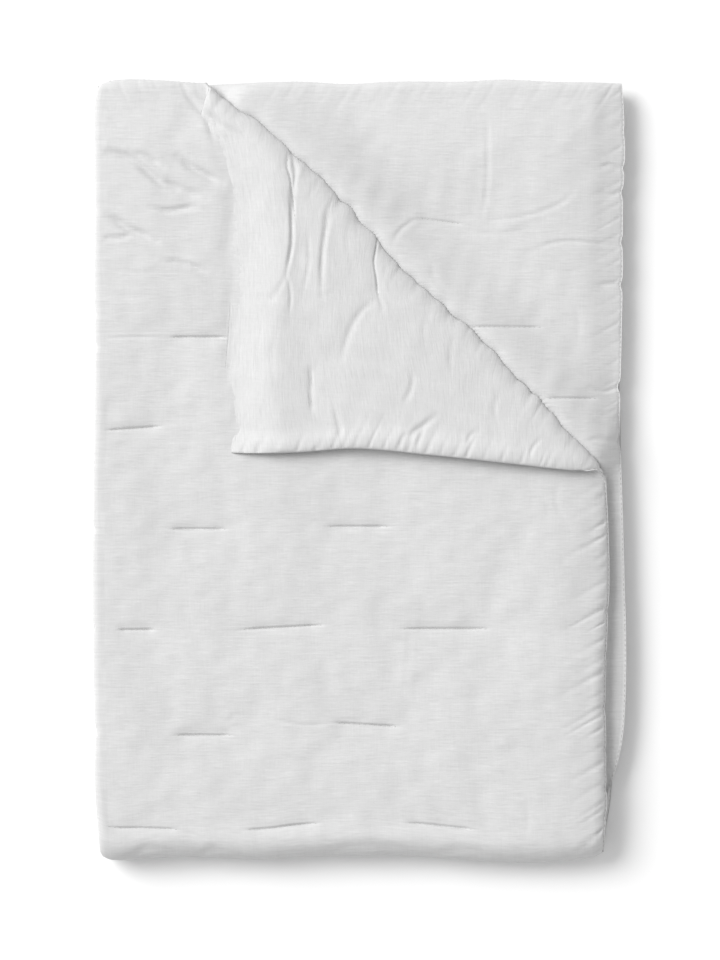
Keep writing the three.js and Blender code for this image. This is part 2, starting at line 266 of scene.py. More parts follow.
def tuckedPlace(place, inside):
    # near such a seam, the rounded edge takes the place of the lip, which goes under it
    shoulder = cloth["tuckIn"] * (1 - smooth((inside - cloth["lipWidth"]) / cloth["shoulder"]))
    under = cloth["lipUnder"] * np.maximum(cloth["lipWidth"] - inside, 0)
    return place + signOf(place) * (shoulder * np.clip(inside / cloth["lipWidth"], 0, 1) - under)


def openedRadius(radius, depth, distance):
    # the radius grows a little inside the fold, and less towards its outside
    near = 1 - smooth((distance - depth) / cloth["foldReach"])
    return radius + cloth["foldRoom"] * near * (1 - (radius - cloth["gap"] / 2) / depth)


def squared(turn, power):
    # how much further out than a circle the outline of such a fold lies (a superellipse)
    return (np.abs(np.cos(turn)) ** power + np.abs(np.sin(turn)) ** power) ** (-1 / power)


def foldLengthwise(across, along, lift):
    # half a turn about the lengthwise axis, then straight: x and the height within the pair
    turn = np.clip(across / bend, -math.pi / 2, math.pi / 2)
    radius = openedRadius(bend + lift, cloth["layer"], np.abs(across)) * squared(turn, cloth["foldSquare"])
    flat = np.maximum(np.abs(across) - quarterTurn, 0)
    pinched = pinchesAt(foldPinches, flatY(along), along)
    x = lengthwiseAxis(along) + flat - (radius - pinched) * np.cos(turn)
    return x, pairHeight / 2 + radius * np.sin(turn)


def foldCrosswise(x, along, height):
    # half a turn of the pair about the crosswise axis, which wanders a little, then straight
    radius = openedRadius(cloth["gap"] / 2 + height, pairHeight, np.abs(along))
    turn = np.clip(along / cloth["crosswiseTurn"], -1, 1) * math.pi / 2
    flat = np.maximum(np.abs(along) - cloth["crosswiseTurn"], 0)
    uneven = readTable(strips, x, 1) + outerBend - cloth["crosswiseCrease"]
    axis = cloth["crosswiseCrease"] + uneven * (1 - smooth(flat / cloth["creaseReach"]))
    return axis + flat - radius * np.cos(turn), stackHeight / 2 + radius * np.sin(turn)


def liftsAt(part):
    # where the cloth begins to lift: the outline's bow less the roll's outer radius
    return readTable(rollBow, part, 1) - cloth["cornerBend"] - cloth["layer"] / 2


def rollWobble(part):
    # the roll's edge is a little lumpy: sines whose own phase wanders by a sine
    place = part * rollLength
    total = 0
    for height, length, wander, phase in rollLumps:
        total = total + height * np.sin(place / length + phase + 2 * np.sin(place / wander))
    return total


def rollTurn(past):
    # the angle turned over the roll: 0 before it, half a turn behind it
    return np.clip((past + cloth["rollEarly"]) / (cornerTurn + 2 * cloth["rollEarly"]), 0, 1) * math.pi


def rollHeight(outwards):
    # from the roll's middle to its outline above or below, where its depth is 1 and its height 1
    return (1 - np.clip(outwards, 0, 1) ** cloth["rollPeak"]) ** (1 / cloth["rollPeak"])


def layOpen(seen):
    # the flat place of what is seen at x, y on the turned corner: the turn of the corner undone
    early = cloth["rollEarly"]
    offset = seen - rollStart
    beyond, place = offset @ rollBeyond, offset @ rollAlong
    flatPlace = place
    for _ in range(6):  # the place and the lift line depend on each other; six rounds settle both
        lifts = liftsAt(flatPlace / rollLength)
        back = np.maximum(lifts - early - beyond, 0) / cloth["cornerShrink"]
        flatPlace = place + cloth["cornerSkew"] * back
    onRoll = np.clip((beyond - lifts + early) / (cloth["cornerBend"] + cloth["layer"] / 2 + early), 0, 1)
    over = np.arctan2(onRoll, rollHeight(onRoll)) / math.pi
    past = back + cornerTurn + early - over * (cornerTurn + 2 * early)
    return rollStart + np.outer(flatPlace, rollAlong) + np.outer(lifts + past, rollBeyond)


def rollFrame(x, y):
    # part of the roll's length, and distance past the line where it begins to lift
    fromStart = np.stack([x, y], -1) - rollStart
    part = fromStart @ rollAlong / rollLength
    past = fromStart @ rollBeyond - liftsAt(part)
    return part, past - rollWobble(part) * (1 - smooth(past / cloth["lumpReach"]))


def pastRoll(across, along):
    # the second of these for a place on the cloth, and far before the roll off the top layer
    past = rollFrame(flatX(across, along), flatY(along))[1]
    top = (across >= quarterTurn) & (along >= cloth["crosswiseTurn"])
    return np.where(top, past, -rollLength)


def turnCorner(x, y, z, past):
    # up and over the roll, then straight back over the layer, gathered and pulled along the roll;
    # all of it is pressed lower near the roll, towards the layer's underside
    bendOfRoll, early = cloth["cornerBend"], cloth["rollEarly"]
    middle = stackHeight - cloth["layer"] / 2
    lift = z - middle
    turn = rollTurn(past)
    outline = squared(turn, cloth["rollPeak"])
    back = np.maximum(past - cornerTurn - early, 0)
    settle = (2 * bendOfRoll - cloth["layer"] - cloth["gap"]) * smooth(back / cloth["cornerReach"])
    out = (bendOfRoll - lift + early) * np.sin(turn) * outline - early - back * cloth["cornerShrink"] - past
    pull = cloth["cornerSkew"] * back
    turned = past > -early
    turnedZ = np.where(turned, middle + bendOfRoll - (bendOfRoll - lift) * np.cos(turn) * outline - settle, z)
    underside = stackHeight - cloth["layer"]
    crush = cloth["rollCrush"] * bell(past - cornerTurn / 2, cloth["crushReach"])
    return (
        np.where(turned, x + out * rollBeyond[0] - pull * rollAlong[0], x),
        np.where(turned, y + out * rollBeyond[1] - pull * rollAlong[1], y),
        turnedZ - (turnedZ - underside) * crush,
    )


def settleStack(x, y, z):
    # lower layers are pressed thinner, open edges droop and the top swells; z = 0 stays at 0
    inside = np.minimum(cloth["openSide"] - x, cloth["openEnd"] - y)
    droop = cloth["edgeDroop"] * (1 - smooth(inside / cloth["droopReach"]))
    acrossLength, downLength, slantLength = cloth["swellLengths"]
    wave = np.sin(x / acrossLength + cloth["swellPhase"]) * np.cos(y / downLength)
    wave = wave + np.sin((x + y) / slantLength)
    press = 1 - cloth["sag"] + cloth["sag"] * np.minimum(z / stackHeight, 1)
    return z * press * (1 - droop + cloth["swell"] * wave)


def foldedPoints(across, along, face, proud):
    # a place of the flat throw goes through all folds; proud is how far its surface stands out
    sideways, lengthways = insideEdges(across, along)
    onCorner = smooth((pastRoll(across, along) - cornerTurn) / cloth["cornerEase"])
    side = roundOver(sideways)
    taper = smooth(lengthways / cloth["cornerTaper"])
    end = roundOver(lengthways, cloth["endShoulder"]) * (1 - onCorner) + taper * onCorner
    lip = cloth["lipThickness"] * (1 - cloth["cornerPress"] * onCorner * (1 - end))
    half = (lip + (cloth["layer"] - lip) * side * end) / 2
    seamAlong = along + (tuckedPlace(along, lengthways) - along) * (1 - onCorner)
    across = across + (tuckedPlace(across, sideways) - across) * onCorner
    past = pastRoll(across, seamAlong)
    turned = np.cos(rollTurn(past))
    tuck = cloth["tuckDrop"] + (cloth["cornerTuck"] - cloth["tuckDrop"]) * onCorner
    lipSink = cloth["lipDrop"] * (0.5 + 0.5 * turned) + cloth["cornerLip"] * onCorner
    sink = np.maximum(lipSink * (1 - side), tuck * (1 - end) * turned ** 2)
    rise = cloth["cornerRise"] * (1 - smooth(sideways / cloth["riseReach"]))
    rise = rise * smooth(-turned) * smooth(lengthways / cloth["riseEnd"])
    drop = -signOf(across) * signOf(along) * (turned * sink + rise)
    proud = np.maximum(proud, -cloth["deepest"] * half)
    x, height = foldLengthwise(across, along, drop + face * (half + proud))
    y, z = foldCrosswise(x, seamAlong, height)
    x, y, z = turnCorner(x, y, z, past)
    return np.stack([x, y, settleStack(x, y, z)], -1)


# Relief of the cloth, in mm. Places are read off the photograph, in its pixels.
photoScale = 1.26
photoCentre = (361, 470)


def fromPhoto(points):
    # pixels to mm from the middle of the stack
    places = np.array(points, float)
    return np.stack([places[:, 0] - photoCentre[0], photoCentre[1] - places[:, 1]], -1) * photoScale


def ripples(x, y, wavelength, seed, waves=16):
    # the sum of plane waves of about one length in seeded directions, with a spread of about 1
    rng = np.random.default_rng(seed)
    total = np.zeros(np.shape(x))
    angles, stretches = rng.uniform(0, 2 * math.pi, waves), rng.uniform(0.7, 1.5, waves)
    for angle, stretch, phase in zip(angles, stretches, rng.uniform(0, 2 * math.pi, waves)):
        place = x * math.cos(angle) + y * math.sin(angle)
        total += np.sin(2 * math.pi * place / (wavelength * stretch) + phase)
    return total * math.sqrt(2 / waves)


relief = {
    "tackGroove": 3.0,  # depth of the sharp line of a row of stitches
    "tackGrooveWidth": 1.4,
    "tackHollow": 1.1,  # and of the soft hollow round it
    "tackHollowWidth": 8,
    "innerTacks": 0.6,  # share of that depth on the layer under the turned corner
    "tacksFrom": 18,  # distance from the crosswise fold at which the tacks begin
    "tackEven": 0.3,  # as far as this share of its length from the middle, a row is equally deep
    "tackFade": 0.14,  # share of its length over which it then fades
    "tiltReach": 0.6,  # as far as this share from the middle, a tilted row keeps its slant
    "creases": 1.6,  # deepens all creases alike
    "creaseEnds": 0.25,  # share of its depth that a crease has at its ends
    "creaseFade": 0.3,  # share of its length over which it deepens
    "creaseMargin": 5,  # it is left out farther away than this many widths
    "bank": 0.3,  # height of the banks beside a crease, as a share of its depth
    "bankWidth": 2.5,  # and how much wider they are
    "lump": 0.2,  # unevenness of the filling
    "lumpLength": 38,
    "lumpSeeds": {1: 5, -1: 6},  # for the front and the back
    "hidden": 0.3,  # share of a hollow's depth that is left between two layers
    "flapMargin": 3,  # the top layer counts as covered from this far outside the flap
    "flapEase": 8,
    "besideRoll": 18.5,  # swell of the layer under the roll, beside it
    "underRoll": 14,  # as far as this it follows the roll's underside
    "rollRoom": 0.8,  # with this much air between
    "rollRest": 4.2,  # which closes towards the roll's side, where the roll rests on it
    "restPower": 8,  # more keeps this contact closer to the side
    "hugEase": 12,  # the layer begins to follow the roll over this distance
    "crest": 9,  # from there to the top of the swell
    "crestFade": 45,  # and beyond its top it sinks back over this distance
    "crestStart": (0, 0.05),  # parts of the roll's length over which the swell begins
    "crestEnd": (1.04, 0.96),  # and ends
    "innerEdge": 5.0,  # the inner layer slopes down to its edge
    "innerEdgeReach": (4, 44),
    "strip": 5.6,  # and so does the strip that shows beyond the top layer's edge
    "stripReach": (-14, 4),  # from these distances past that edge
    "stripTop": (20, -10),  # and from these y downwards
    "pastRoll": (5, 25),  # the inner layer shows from these distances past the roll's lift
}

# Creases: the line that each follows, its half width and its depth
outerCreases = [
    ([(100, 150), (118, 153), (136, 160), (150, 172), (163, 183), (176, 187)], 5, 4.2),
    ([(130, 150), (147, 156), (162, 166)], 4.6, 3.0),
    ([(178, 155), (190, 165), (206, 174), (222, 182)], 5, 4.0),
    ([(160, 176), (180, 188), (206, 196)], 5.6, 2.4),
    ([(150, 205), (164, 209), (180, 208), (196, 205)], 3, 2.8),
    ([(104, 213), (116, 219), (128, 227), (142, 233), (156, 240)], 4.8, 3.8),
    ([(206, 76), (211, 90), (213, 104)], 2.6, 3.4),
    ([(98, 236), (112, 237), (126, 235), (136, 233)], 2.6, 2.6),
    ([(163, 259), (178, 261), (192, 264), (206, 271)], 2.8, 2.8),
    ([(120, 268), (140, 272), (158, 270)], 4, 0.9),
    ([(110, 290), (130, 296), (150, 294)], 4, 0.7),
    ([(182, 86), (196, 104), (208, 120), (214, 140)], 4, 2.2),
    ([(100, 337), (130, 336), (168, 336)], 2, 0.7),
    ([(412, 600), (409, 650), (404, 700)], 2.5, 0.5),
    ([(527, 800), (528, 818), (526, 832)], 3, 0.5),
    ([(225, 722), (236, 715), (248, 716)], 3, 0.6),
    ([(266, 716), (300, 724), (330, 723)], 3, 0.5),
    ([(180, 832), (205, 840), (222, 846)], 3, 0.6),
    ([(560, 480), (556, 500), (566, 520)], 3, 0.5),
    ([(520, 478), (545, 500), (548, 520)], 3, 0.5),
    ([(128, 850), (150, 844), (174, 850)], 4, 1.8),
    ([(198, 851), (214, 846), (232, 851)], 4, 1.8),
    ([(318, 852), (356, 845), (400, 847), (428, 852)], 5, 2.0),
    ([(430, 851), (468, 844), (505, 851)], 4, 1.8),
]
innerCreases = [
    ([(487, 110), (488, 150), (487, 190), (481, 216)], 2.5, 0.9),
    ([(490, 218), (515, 216), (540, 210), (560, 202), (572, 192), (575, 184)], 3, 0.9),
    ([(392, 243), (398, 232), (406, 224), (418, 216)], 3.4, 0.8),
    ([(528, 250), (560, 240), (600, 241), (622, 243)], 3, 0.9),
    ([(598, 284), (610, 281), (622, 284)], 2.5, 1.1),
    ([(600, 165), (612, 162), (624, 166)], 2.5, 1.2),
    ([(600, 190), (612, 192), (624, 189)], 2.5, 1.0),
    ([(470, 228), (500, 232), (530, 226)], 4, 0.5),
    ([(430, 262), (436, 280), (446, 290)], 4, 0.6),
    ([(540, 262), (560, 270), (585, 268)], 4, 0.5),
    ([(590, 386), (606, 390), (622, 384)], 2.5, 1.2),
    ([(586, 440), (600, 437), (616, 440)], 2.5, 1.3),
    ([(590, 455), (604, 458), (618, 454)], 2.5, 0.9),
    ([(575, 300), (580, 320), (578, 340)], 4, 0.4),
]
cornerCreases = [
    ([(291, 190), (292, 240), (286, 275)], 2.8, 2.4),
    ([(296, 148), (296, 170), (293, 198)], 2.6, 2.0),
    ([(286, 275), (278, 290), (266, 304)], 3, 1.0),
    ([(287, 275), (291, 292), (290, 312)], 3, 0.9),
    ([(336, 190), (329, 210), (325, 232), (322, 262), (322, 296)], 3.4, 2.2),
    ([(313, 296), (322, 296), (337, 290)], 2, 1.0),
    ([(379, 297), (381, 303), (384, 312)], 3, 1.2),
    ([(377, 299), (362, 310), (350, 330), (341, 360)], 4, 1.2),
    ([(334, 404), (338, 420), (342, 442)], 3, 1.5),
    ([(413, 372), (411, 388), (404, 402)], 3, 1.4),
    ([(406, 444), (413, 432), (424, 424), (437, 414)], 3.5, 2.0),
    ([(416, 446), (420, 436), (424, 426)], 3, 1.6),
    ([(398, 446), (404, 436), (410, 430)], 3, 1.2),
    ([(466, 442), (471, 434), (477, 430)], 3, 1.0),
    ([(529, 456), (533, 446), (541, 438)], 3, 1.2),
    ([(257, 456), (257, 448), (260, 440)], 2.5, 1.2),
    ([(313, 455), (314, 448), (318, 442)], 2.5, 1.2),
    ([(252, 300), (268, 296), (286, 300)], 4, 0.5),
    ([(308, 232), (309, 262), (303, 292)], 3, 0.8),
    ([(352, 214), (348, 240), (350, 262)], 3, 0.7),
    ([(455, 330), (450, 352), (452, 372)], 4, 0.8),
    ([(432, 300), (424, 326), (426, 346)], 4, 0.6),
    ([(262, 318), (258, 350), (262, 380)], 4, 0.5),
    ([(276, 330), (272, 362), (278, 388)], 3, 0.5),
    ([(500, 392), (494, 406), (496, 420)], 4, 0.7),
]
cornerSide = [(211, 98), (220, 140), (229, 170), (232, 215), (231, 280), (230, 350), (232, 400), (233, 452)]
cornerFoot = [(233, 452), (300, 453), (345, 449), (400, 450), (440, 452), (500, 456), (560, 463), (600, 470)]
underCorner = [(cornerSide, 11, 1.0)]  # the top layer is a little lower along the flap's side


def curveThrough(points, steps=6):
    # the same cubic as a table's, through the points in turn
    table = np.column_stack([np.arange(len(points)), points])
    at = np.linspace(0, len(points) - 1, steps * (len(points) - 1) + 1)
    return np.stack([readTable(table, at, 1), readTable(table, at, 2)], -1)


def nearLine(x, y, line, margin):
    # which places lie in the line's box, widened by the margin
    (west, south), (east, north) = line.min(0) - margin, line.max(0) + margin
    return (x > west) & (x < east) & (y > south) & (y < north)


def alongLine(places, line):
    # distance to the nearest point of the line, and the share of its length that lies before it
    lengths = np.hypot(*np.diff(line, axis=0).T)
    starts = np.concatenate([[0], np.cumsum(lengths)])
    nearest = np.full(len(places), np.inf)
    share = np.zeros(len(places))
    for a, b, length, begun in zip(line, line[1:], lengths, starts):
        t = np.clip((places - a) @ (b - a) / length ** 2, 0, 1)
        distance = np.hypot(*(places - a - t[:, None] * (b - a)).T)
        closer = distance < nearest
        nearest[closer] = distance[closer]
        share[closer] = ((begun + t * length) / starts[-1])[closer]
    return nearest, share


def creaseRelief(x, y, creases, toFlat=lambda places: places):
    # a valley along each line, a bell of the distance from it with low banks, shallow at its ends
    total = np.zeros(x.shape)
    for points, width, depth in creases:
        line = toFlat(curveThrough(fromPhoto(points)))
        near = nearLine(x, y, line, relief["creaseMargin"] * width)
        if not near.any():
            continue
        nearest, share = alongLine(np.stack([x[near], y[near]], -1), line)
        ends = smooth(share / relief["creaseFade"]) * smooth((1 - share) / relief["creaseFade"])
        ends = ends * (1 - relief["creaseEnds"]) + relief["creaseEnds"]
        valley = bell(nearest, width) - relief["bank"] * bell(nearest, relief["bankWidth"] * width)
        total[near] -= relief["creases"] * depth * ends * valley
    return total


def behindSide(x, y):
    # distance to the right of the turned corner's left side
    return x - readTable(fromPhoto(cornerSide)[::-1, ::-1], y, 1)


def underFlap(x, y):
    # 1 on what the turned corner covers, 0 from a little outside its outline
    above = y - readTable(fromPhoto(cornerFoot), x, 1)
    within = np.minimum(behindSide(x, y), above) + relief["flapMargin"]
    return smooth(within / relief["flapEase"])


def tackRelief(half, x, y):
    # the deepest of all hollows: a sharp and a soft bell across each row, fading past its ends
    depth = np.zeros(x.shape)
    for tackHalf, tackX, tackY, length, tilt in tacks:
        if tackHalf != half:
            continue
        beyond = np.maximum(np.abs(x - tackX) / length - relief["tackEven"], 0)
        off = y - tackY - tilt * np.clip((x - tackX) / length, -relief["tiltReach"], relief["tiltReach"])
        ends = bell(beyond, relief["tackFade"])
        line = relief["tackGroove"] * bell(off, relief["tackGrooveWidth"]) * ends
        soft = relief["tackHollow"] * bell(off, relief["tackHollowWidth"]) * ends
        depth = np.maximum(depth, line + soft)
    return -depth * (1 if half > 0 else relief["innerTacks"])


# Puckers along a sewn edge, and those over the roll. Two values are the limits of a random draw.
puckers = {
    "seed": 11,
    "depth": 3.2,
    "pitch": 19,
    "spacing": (0.35, 1.5),  # as a share of the pitch
    "reach": (12, 38),  # how far they run inwards
    "width": (1.6, 3.4),
    "strength": (0.3, 1),
    "start": 2,  # distance inside the edge at which they begin
    "rise": 4,  # and over which they deepen
    "within": 60,  # they are left out farther inside than this
    "slope": -0.55,  # how far they slant for each mm that they run inwards
    "cornerShare": 0.6,  # share of their depth on the turned corner's face
    "hiddenShare": 0.35,  # and between layers and at both ends
}
endPuckers = {**puckers, "seed": 12, "slope": 0.6}
rollPuckers = {
    **puckers, "seed": 21, "depth": 1.6, "pitch": 17, "reach": (10, 26), "width": (1.8, 3.4), "start": -2,
    "slope": 0.3,
}


def gathers(kind, inside, place):
    # short puckers that start at a seam: each a bell across its own slanting line
    rng = np.random.default_rng(kind["seed"])
    depth = np.zeros(inside.shape)
    farthest = 1000
    at = -farthest
    while at < farthest:
        at += kind["pitch"] * rng.uniform(*kind["spacing"])
        far, wide, strength = (rng.uniform(*kind[name]) for name in ("reach", "width", "strength"))
        off = place - at - kind["slope"] * inside
        fade = bell(inside, far) * smooth((inside - kind["start"]) / kind["rise"])
        depth = np.maximum(depth, strength * fade * bell(off, wide))
    return -depth


# The quilted panel in a cloth simulation: cloth with a little to spare, held down at the tacks,
# and pushed up by the filling. Sizes in mm.
puffs = {
    "pitch": 7,
    "halfWidth": 640,  # of the panel
    "length": 975,
    "enlarge": 10,  # the simulated panel is this many times the real one
    "spare": 0.015,  # share by which the cloth is longer than its place
    "pressure": 1.5,
    "stretching": 15,  # stiffness against stretching
    "shearing": 5,
    "bending": 15.0,  # stiffness against small wrinkles
    "quality": 5,
    "hold": 0.2,  # how strongly the filling keeps the cloth at its height
    "frames": 20,
    "stitchDepth": 3.5,
    "share": 0.16,  # of the settled heights, which the quilting presses down again
    "cap": 4.5,
    "backShare": 0.6,
    "rollEase": (20, 40),  # the puffs fade over these distances before and behind the roll,
    "foldShare": 0.3,  # to this share at the lengthwise fold,
    "foldEase": (15, 75),
    "creaseEase": 60,  # and to none at the crosswise fold
}


def stitchedPoints(across, along):
    # the panel's points nearest to each tack, and the line's own place there
    held = np.zeros(across.shape, bool)
    moved = along.copy()
    for half, tackX, tackY, length, tilt in tacks:
        place = alongAt(tackY)
        fromMiddle = half * across + lengthwiseAxis(place) - quarterTurn - tackX
        line = place + tilt * fromMiddle / length
        under = (np.abs(fromMiddle) <= length / 2) & (np.abs(along - line) <= puffs["pitch"] / 2)
        held |= under
        moved = np.where(under, line, moved)
    return held, moved


def puffedPanel():
    # heights of the settled cloth over a regular grid on the upper half of the throw
    pitch, halfWidth = puffs["pitch"], puffs["halfWidth"]
    columns = np.arange(-halfWidth, halfWidth + 1, pitch)
    across, along = np.meshgrid(columns, np.arange(0, puffs["length"] + 1, pitch))
    held, lines = stitchedPoints(across, along)
    flat = np.stack([across, lines, np.where(held, -puffs["stitchDepth"], 0)], -1).reshape(-1, 3)
    ids = np.arange(across.size).reshape(across.shape)
    quads = np.stack([ids[:-1, :-1], ids[:-1, 1:], ids[1:, 1:], ids[1:, :-1]], -1).reshape(-1, 4)
    panel = meshObject("quiltedPanel", flat * puffs["enlarge"], [quads])
    group = panel.vertex_groups.new(name="held")
    group.add(ids[held].tolist(), 1, "REPLACE")
    group.add(ids[~held].tolist(), puffs["hold"], "REPLACE")
    modifier = panel.modifiers.new("settle", "CLOTH")
    linen = modifier.settings
    linen.quality = puffs["quality"]
    linen.tension_stiffness = linen.compression_stiffness = puffs["stretching"]
    linen.shear_stiffness = puffs["shearing"]
    linen.bending_stiffness = puffs["bending"]
    linen.vertex_group_mass = "held"
    linen.shrink_min = -puffs["spare"]
    linen.use_pressure = True
    linen.uniform_pressure_force = puffs["pressure"]
    linen.effector_weights.gravity = 0
    modifier.collision_settings.use_collision = False
    modifier.point_cache.frame_end = puffs["frames"]
    for frameNumber in range(1, puffs["frames"] + 1):
        bpy.context.scene.frame_set(frameNumber)
    settled = panel.evaluated_get(bpy.context.evaluated_depsgraph_get()).data
    places = np.empty(3 * across.size, np.float32)
    settled.vertices.foreach_get("co", places)
    bpy.context.scene.frame_set(1)
    bpy.data.meshes.remove(panel.data)  # and the panel with it
    heights = places.reshape(*across.shape, 3)[:, :, 2] / mm / puffs["enlarge"]
    print(f"  puffs from {heights.min():.1f} to {heights.max():.1f} mm, mean {heights.mean():.2f}")
    return puffs["cap"] * np.tanh((heights - heights.mean()) * puffs["share"] / puffs["cap"])


def readPanel(heights, across, along):
    # a cubic through four points each way (Catmull-Rom) between the heights of the panel
    total = 0
    columns, rows = (across + puffs["halfWidth"]) / puffs["pitch"], along / puffs["pitch"]
    i, j = np.floor(columns).astype(int), np.floor(rows).astype(int)
    weights = []
    for t in (columns - i, rows - j):
        weights.append([
            (-t + 2 * t ** 2 - t ** 3) / 2,
            (2 - 5 * t ** 2 + 3 * t ** 3) / 2,
            (t + 4 * t ** 2 - 3 * t ** 3) / 2,
            (t ** 3 - t ** 2) / 2,
        ])
    for a in range(4):
        for b in range(4):
            column = np.clip(i + a - 1, 0, heights.shape[1] - 1)
            row = np.clip(j + b - 1, 0, heights.shape[0] - 1)
            total = total + heights[row, column] * weights[0][a] * weights[1][b]
    return total


def besideRoll(past):
    # the layer under the roll follows its underside, swells up beside it, and sinks back
    radius, early = cloth["cornerBend"] + cloth["layer"] / 2, cloth["rollEarly"]
    outwards = np.clip((np.minimum(past, relief["underRoll"]) + early) / (radius + early), 0, 1)
    hug = radius * (1 - rollHeight(outwards)) * (1 - cloth["rollCrush"]) + cloth["gap"]
    hug += relief["rollRest"] * outwards ** relief["restPower"] - relief["rollRoom"]
    hug = np.maximum(hug, 0) * smooth((past + early + relief["hugEase"]) / relief["hugEase"])
    swollen = hug + (relief["besideRoll"] - hug) * smooth((past - relief["underRoll"]) / relief["crest"])
    crest = relief["underRoll"] + relief["crest"]
    return swollen * bell(np.maximum(past - crest, 0), relief["crestFade"])


def onOuter(across, along):
    # whether a place is on the upper half's outer layer, which has the turned corner
    return (across > quarterTurn) & (along > 0)


def puffRelief(across, along, face, full):
    # the simulated puffs, faded at both folds, and on the outer layer before and behind the roll
    past = rollFrame(flatX(across, along), flatY(along))[1]
    before, behind = puffs["rollEase"]
    offRoll = np.maximum(smooth(-past / before), smooth((past - cornerTurn) / behind))
    offFold = puffs["foldShare"] + (1 - puffs["foldShare"]) * between(np.abs(across), puffs["foldEase"])
    puffed = readPanel(puffHeights, across, along) * full * smooth(along / puffs["creaseEase"]) * offFold
    return puffed * np.where(onOuter(across, along), offRoll, 1) * (1 if face > 0 else puffs["backShare"])


def frontRelief(proud, across, along):
    # creases of the top layer; where another layer lies on it, only shallow hollows are left
    x, y = flatX(across, along), flatY(along)
    outer, past = onOuter(across, along), rollFrame(x, y)[1]
    proud += outer * creaseRelief(x, y, outerCreases)
    covered = np.where(outer & (past < 0), underFlap(x, y), ~outer | (past > 0))
    proud = proud * (1 - covered) + np.minimum(proud, 0) * relief["hidden"] * covered
    return proud + outer * (past < 0) * creaseRelief(x, y, underCorner)


def backRelief(proud, across, along, full):
    # creases of the turned corner, and of the layer under it, which swells beside the roll
    x, y = flatX(across, along), flatY(along)
    sideways = insideEdges(across, along)[0]
    part, past = rollFrame(x, y)
    outer, inner = onOuter(across, along), (across < 0) & (along > 0)
    proud += outer * creaseRelief(x, y, cornerCreases, layOpen)
    proud += inner * creaseRelief(x, y, innerCreases)
    onRoll = outer & (past > 0) & (past < puckers["within"])
    fromRoll = np.abs(past[onRoll] - cornerTurn / 2)
    proud[onRoll] += rollPuckers["depth"] * gathers(rollPuckers, fromRoll, part[onRoll] * rollLength)
    beyondTop = x - readTable(sections, along, 2)
    onStrip = between(beyondTop, relief["stripReach"]) * between(y, relief["stripTop"])
    shown = onStrip + between(past, relief["pastRoll"])
    hidden = ~outer & ~inner | (outer & (past < 0)) | (inner & (shown < 0.5))
    proud = np.where(hidden, np.minimum(proud, 0) * relief["hidden"], proud)
    proud -= inner * relief["strip"] * onStrip * full
    edge = inner * relief["innerEdge"] * (1 - between(sideways, relief["innerEdgeReach"])) * full
    lengthwise = between(part, relief["crestStart"]) * between(part, relief["crestEnd"])
    return proud + inner * besideRoll(past) * lengthwise * full - edge


def reliefOf(across, along, face):
    # what stands proud of the plain filled cloth, for one face of the throw
    x, y = flatX(across, along), flatY(along)
    sideways, lengthways = insideEdges(across, along)
    full = roundOver(sideways) * roundOver(lengthways)
    proud = np.where(across > 0, tackRelief(1, x, y), tackRelief(-1, x, y)) * (along > relief["tacksFrom"])
    lumps = ripples(across, along, relief["lumpLength"], relief["lumpSeeds"][face])
    proud += lumps * relief["lump"] * full
    if puffHeights is not None:
        proud += puffRelief(across, along, face, full)
    hidden = puckers["hiddenShare"]
    deep = 1 if face > 0 else np.where(onOuter(across, along), puckers["cornerShare"], hidden)
    for kind, inside, place, share in (
        (puckers, sideways, along, deep), (endPuckers, lengthways, across, hidden)
    ):
        near = inside < puckers["within"]
        depth = (kind["depth"] * share * np.ones(near.shape))[near]
        proud[near] += depth * gathers(kind, inside[near], place[near])
    if face > 0:
        return frontRelief(proud, across, along)
    return backRelief(proud, across, along, full)


# Mesh lines of each face: places over the flat throw with the spacing wanted there, in mm
tackRows = [42, 165, 292, 419, 545, 660]
cornerRows = [583, 673, 795, 896]
edgeMarks = [(60, 3.6), (24, 2.2), (8, 1.2), (0, 0.8)]
meshPlan = {
    "front": {
        "columns": [
            (-650, 2), (-625, 3), (-580, 20), (-60, 20), (-16, 2), (0, 1.5), (16, 2.2), (40, 2.6),
            (185, 2.6), (215, 4), (580, 4),
        ],
        "rows": [(-983, 2), (-960, 6), (-920, 14), (-80, 14), (-34, 4), (34, 4)],
        "rowPitch": 3.1,
        "fineRows": tackRows,
    },
    "back": {
        "columns": [
            (-650, 1), (-625, 2.2), (-580, 3.2), (-140, 3.2), (-90, 16), (-16, 4), (16, 4), (60, 20),
            (130, 16), (160, 4), (580, 4),
        ],
        "rows": [(-983, 2), (-960, 6), (-920, 14), (-80, 14), (-34, 5), (34, 5), (60, 3.4), (440, 3.4)],
        "rowPitch": 2.6,
        "fineRows": cornerRows,
    },
}
meshFit = {
    "rowReach": 20,  # the lines are closer as far as this from a row of tacks
    "rowFine": 7,  # and closest as far as this
    "finePitch": 1.2,
    "tackFade": 30,  # past a tack's end, its lines go back over this distance
    "rowEase": (8, 48),  # and these from the row
    "tiltReach": 0.7,  # as far as this share from the middle, they follow a tilted row
    "sideEase": (520, 610),  # between these, the lines are stretched to meet the sewn edge
    "endEase": (880, 950),
}


def spacedLines(marks, step=0.05):
    # the running count of lines, the sum of 1 / spacing, is inverted at whole numbers
    places, spacing = np.array(marks, float).T
    fine = np.arange(places[0], places[-1], step)
    count = np.cumsum(step / np.interp(fine, places, spacing))
    wanted = np.linspace(count[0], count[-1], round(count[-1] - count[0]) + 1)
    return np.interp(wanted, count, fine)


